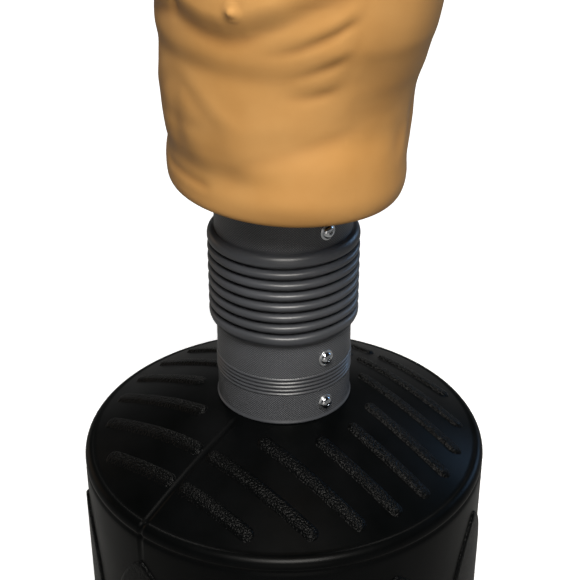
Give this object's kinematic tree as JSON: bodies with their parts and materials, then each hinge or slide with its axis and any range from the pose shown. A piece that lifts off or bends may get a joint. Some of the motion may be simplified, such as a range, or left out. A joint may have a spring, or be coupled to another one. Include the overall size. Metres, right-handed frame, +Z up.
{
  "type": "boxing dummy",
  "caption": "Free-standing boxing dummy: a life-size vinyl torso with a head on a sprung post in a bellows sleeve, on a round fillable base tank.",
  "frame": {"origin": "on the post's axis at the floor, in the middle of the base", "axes": "+Z up, the dummy faces -Y and its left side is +X"},
  "size_m": [0.568, 0.5666, 1.562],
  "materials": {
    "tank_black_polyethylene": "satin black, moulded",
    "rubber_black": "matt",
    "hub_black_casting": "black painted casting",
    "zinc_plated": "zinc plated",
    "chrome_bright": "bright chrome",
    "sleeve_grey_vinyl": "satin grey vinyl with a fine stipple",
    "spring_steel": "oiled spring steel",
    "post_grey_steel": "grey powder coat",
    "plate_grey_plastic": "matt",
    "foam_pale_urethane": "open-cell foam",
    "skin_tan_vinyl": "satin tan vinyl",
    "black_plastic": "matt"
  },
  "bodies": {
    "base": {"base_tank": "tank_black_polyethylene", "foot_pad_1": "rubber_black", "foot_pad_2": "rubber_black", "foot_pad_3": "rubber_black", "foot_pad_4": "rubber_black", "foot_pad_5": "rubber_black", "foot_pad_6": "rubber_black", "anchor_tube": "post_grey_steel", "lower_hub": "hub_black_casting", "hub_bolt_1": "zinc_plated", "hub_bolt_2": "zinc_plated", "hub_bolt_3": "zinc_plated", "hub_bolt_4": "zinc_plated", "spring_seat_low": "black_plastic", "screw_low_left": "chrome_bright", "washer_low_left": "chrome_bright", "screw_low_right": "chrome_bright", "washer_low_right": "chrome_bright", "screw_mid_left": "chrome_bright", "washer_mid_left": "chrome_bright", "nut_mid_left": "zinc_plated", "screw_mid_right": "chrome_bright", "washer_mid_right": "chrome_bright", "nut_mid_right": "zinc_plated", "bellows_sleeve": "sleeve_grey_vinyl"},
    "spring": {"coil_spring": "spring_steel"},
    "post": {"upper_hub": "hub_black_casting", "spring_seat_up": "black_plastic", "post_tube": "post_grey_steel", "post_cap": "black_plastic", "post_bolt": "zinc_plated", "post_nut": "zinc_plated", "height_peg": "zinc_plated", "screw_top_left": "chrome_bright", "washer_top_left": "chrome_bright", "nut_top_left": "zinc_plated", "screw_top_right": "chrome_bright", "washer_top_right": "chrome_bright", "nut_top_right": "zinc_plated"},
    "torso": {"torso_base_plate": "plate_grey_plastic", "socket_tube": "black_plastic", "socket_cap": "black_plastic", "foam_core": "foam_pale_urethane", "torso_skin": "skin_tan_vinyl"},
    "seal": {"fill_seal": "rubber_black"},
    "cap": {"fill_cap": "black_plastic"}
  },
  "joints": [
    {"name": "lean_front_back", "type": "hinge", "parent": "base", "child": "spring", "pos_m": [0, 0, 0.62], "axis": [1, 0, 0], "range_deg": [-20, 20], "stiffness_Nm_per_rad": 500, "deforming": ["coil_spring", "bellows_sleeve"]},
    {"name": "lean_side", "type": "hinge", "parent": "spring", "child": "post", "pos_m": [0, 0, 0.685], "axis": [0, 1, 0], "range_deg": [-20, 20], "stiffness_Nm_per_rad": 500},
    {"name": "torso_lift", "type": "slide", "parent": "post", "child": "torso", "axis": [0, 0, 1], "range_m": [0, 0.1]},
    {"name": "cap_rise", "type": "slide", "parent": "base", "child": "seal", "axis": [0, 0, 1], "range_m": [0, 0.015]},
    {"name": "cap_turn", "type": "hinge", "parent": "seal", "child": "cap", "pos_m": [-0.16385, 0.06955, 0.45995], "axis": [0, 0, 1], "range_deg": [0, 1080]}
  ],
  "couplings": [
    {"joint": "cap_rise", "follows": "cap_turn", "m_per_rad": 0.00079577}
  ]
}
